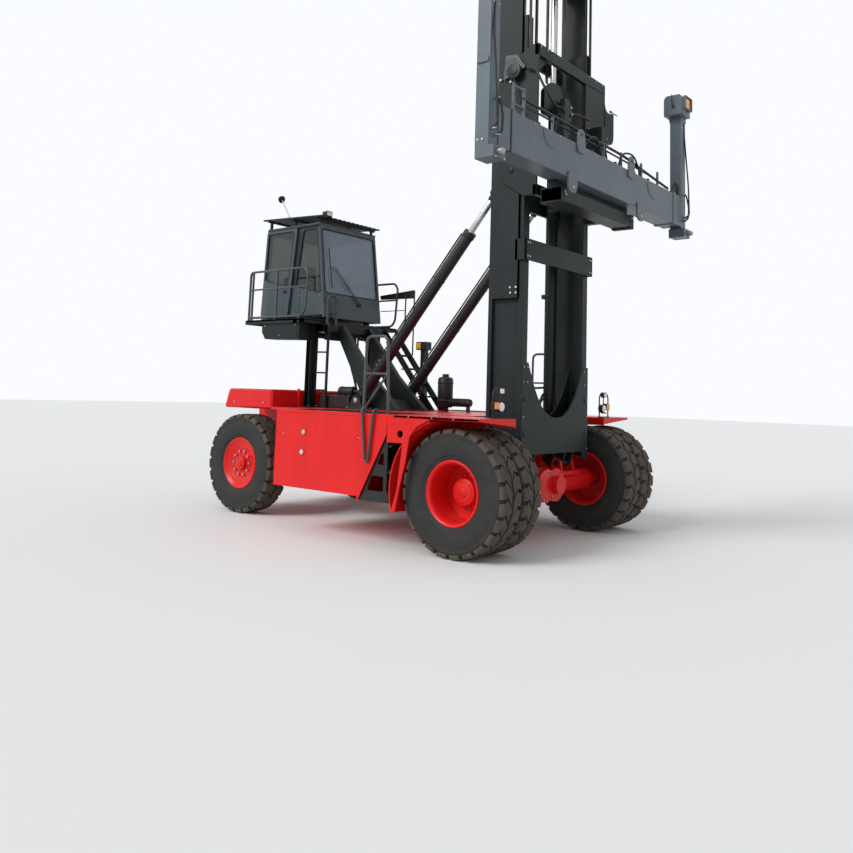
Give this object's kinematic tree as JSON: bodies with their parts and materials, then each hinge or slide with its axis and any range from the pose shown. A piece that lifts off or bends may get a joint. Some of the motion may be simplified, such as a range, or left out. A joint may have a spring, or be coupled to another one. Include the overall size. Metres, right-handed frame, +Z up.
{
  "type": "container handling forklift truck",
  "caption": "Heavy forklift truck with a raised cab, twin front wheels, two-stage mast and side-lift container spreader.",
  "frame": {"origin": "middle of the bounding box on the ground under the truck", "axes": "+X forward towards the mast, +Y to the driver's left, +Z up"},
  "size_m": [6.3299, 5.4, 8.3],
  "materials": {
    "black_paint": "satin",
    "dark_paint": "satin",
    "engine_iron": "matt",
    "grey_paint": "satin",
    "red_paint": "gloss",
    "seat_cloth": "matt",
    "steel": "satin",
    "tyre_rubber": "matt"
  },
  "bodies": {
    "chassis": {"chassis_frame": "red_paint", "deck": "red_paint", "side_tanks": "red_paint", "front_fenders": "red_paint", "side_steps": "black_paint", "counterweight": "red_paint", "engine_block": "engine_iron", "engine_hood": "black_paint", "exhaust": "black_paint", "drive_axle": "red_paint", "steer_axle": "red_paint", "cab_supports": "dark_paint", "platform": "dark_paint", "handrails": "black_paint", "cab_shell": "grey_paint", "operator_seat": "seat_cloth", "steering_console": "black_paint", "roof_guard": "dark_paint", "fender_lamps": "black_paint"},
    "sliding_door": {"cab_door": "grey_paint"},
    "front_right_wheel": {"front_right_tyres": "tyre_rubber", "front_right_rims": "red_paint"},
    "front_left_wheel": {"front_left_tyres": "tyre_rubber", "front_left_rims": "red_paint"},
    "right_steer": {"right_knuckle": "red_paint"},
    "left_steer": {"left_knuckle": "red_paint"},
    "rear_right_wheel": {"rear_right_tyre": "tyre_rubber", "rear_right_rim": "red_paint"},
    "rear_left_wheel": {"rear_left_tyre": "tyre_rubber", "rear_left_rim": "red_paint"},
    "mast": {"mast_frame": "dark_paint", "lift_barrels": "dark_paint"},
    "stage": {"mast_stage": "dark_paint", "lift_rods": "steel"},
    "lift_carriage": {"carriage": "dark_paint"},
    "spreader": {"spreader_beam": "grey_paint"},
    "right_end": {"right_arm": "grey_paint"},
    "left_end": {"left_arm": "grey_paint"},
    "right_tilt_cylinder": {"right_tilt_barrel": "black_paint"},
    "left_tilt_cylinder": {"left_tilt_barrel": "black_paint"},
    "right_tilt_piston": {"right_tilt_rod": "steel"},
    "left_tilt_piston": {"left_tilt_rod": "steel"}
  },
  "joints": [
    {"name": "front_right_roll", "type": "hinge", "parent": "chassis", "child": "front_right_wheel", "pos_m": [2.075, -1.5415, 0.75], "axis": [0, 1, 0], "continuous": true},
    {"name": "front_left_roll", "type": "hinge", "parent": "chassis", "child": "front_left_wheel", "pos_m": [2.075, 1.5415, 0.75], "axis": [0, 1, 0], "continuous": true},
    {"name": "right_steering", "type": "hinge", "parent": "chassis", "child": "right_steer", "pos_m": [-2.415, -1.035, 0.75], "axis": [0, 0, 1], "range_deg": [-30, 30]},
    {"name": "left_steering", "type": "hinge", "parent": "chassis", "child": "left_steer", "pos_m": [-2.415, 1.035, 0.75], "axis": [0, 0, 1], "range_deg": [-30, 30]},
    {"name": "rear_right_roll", "type": "hinge", "parent": "right_steer", "child": "rear_right_wheel", "pos_m": [-2.415, -1.309, 0.75], "axis": [0, 1, 0], "continuous": true},
    {"name": "rear_left_roll", "type": "hinge", "parent": "left_steer", "child": "rear_left_wheel", "pos_m": [-2.415, 1.309, 0.75], "axis": [0, 1, 0], "continuous": true},
    {"name": "mast_tilt", "type": "hinge", "parent": "chassis", "child": "mast", "pos_m": [2.135, 0, 1.01], "axis": [0, 1, 0], "range_deg": [-6, 3]},
    {"name": "stage_lift", "type": "slide", "parent": "mast", "child": "stage", "axis": [0, 0, 1], "range_m": [-1, 2]},
    {"name": "carriage_lift", "type": "slide", "parent": "stage", "child": "lift_carriage", "axis": [0, 0, 1], "range_m": [-1, 2]},
    {"name": "side_shift", "type": "slide", "parent": "lift_carriage", "child": "spreader", "axis": [0, 1, 0], "range_m": [-0.3, 0.3]},
    {"name": "right_extension", "type": "slide", "parent": "spreader", "child": "right_end", "axis": [0, -1, 0], "range_m": [0, 3]},
    {"name": "left_extension", "type": "slide", "parent": "spreader", "child": "left_end", "axis": [0, 1, 0], "range_m": [0, 3]},
    {"name": "right_cylinder_pivot", "type": "hinge", "parent": "chassis", "child": "right_tilt_cylinder", "pos_m": [-0.785, -0.44, 1.76], "axis": [0, 1, 0], "range_deg": [-6, 4]},
    {"name": "right_cylinder_stroke", "type": "slide", "parent": "right_tilt_cylinder", "child": "right_tilt_piston", "axis": [0.6456, 0, 0.7637], "range_m": [-0.32, 0.2]},
    {"name": "left_cylinder_pivot", "type": "hinge", "parent": "chassis", "child": "left_tilt_cylinder", "pos_m": [-0.785, 0.44, 1.76], "axis": [0, 1, 0], "range_deg": [-6, 4]},
    {"name": "left_cylinder_stroke", "type": "slide", "parent": "left_tilt_cylinder", "child": "left_tilt_piston", "axis": [0.6456, 0, 0.7637], "range_m": [-0.32, 0.2]},
    {"name": "door_slide", "type": "slide", "parent": "chassis", "child": "sliding_door", "axis": [1, 0, 0], "range_m": [0, 0.56]}
  ],
  "couplings": [
    {"joint": "left_steering", "follows": "right_steering", "ratio": 1},
    {"joint": "carriage_lift", "follows": "stage_lift", "ratio": 1},
    {"joint": "left_extension", "follows": "right_extension", "ratio": 1},
    {"joint": "right_cylinder_pivot", "follows": "mast_tilt", "ratio": 0.6615},
    {"joint": "left_cylinder_pivot", "follows": "mast_tilt", "ratio": 0.6615},
    {"joint": "right_cylinder_stroke", "follows": "mast_tilt", "m_per_rad": 2.7363},
    {"joint": "left_cylinder_stroke", "follows": "mast_tilt", "m_per_rad": 2.7363}
  ]
}
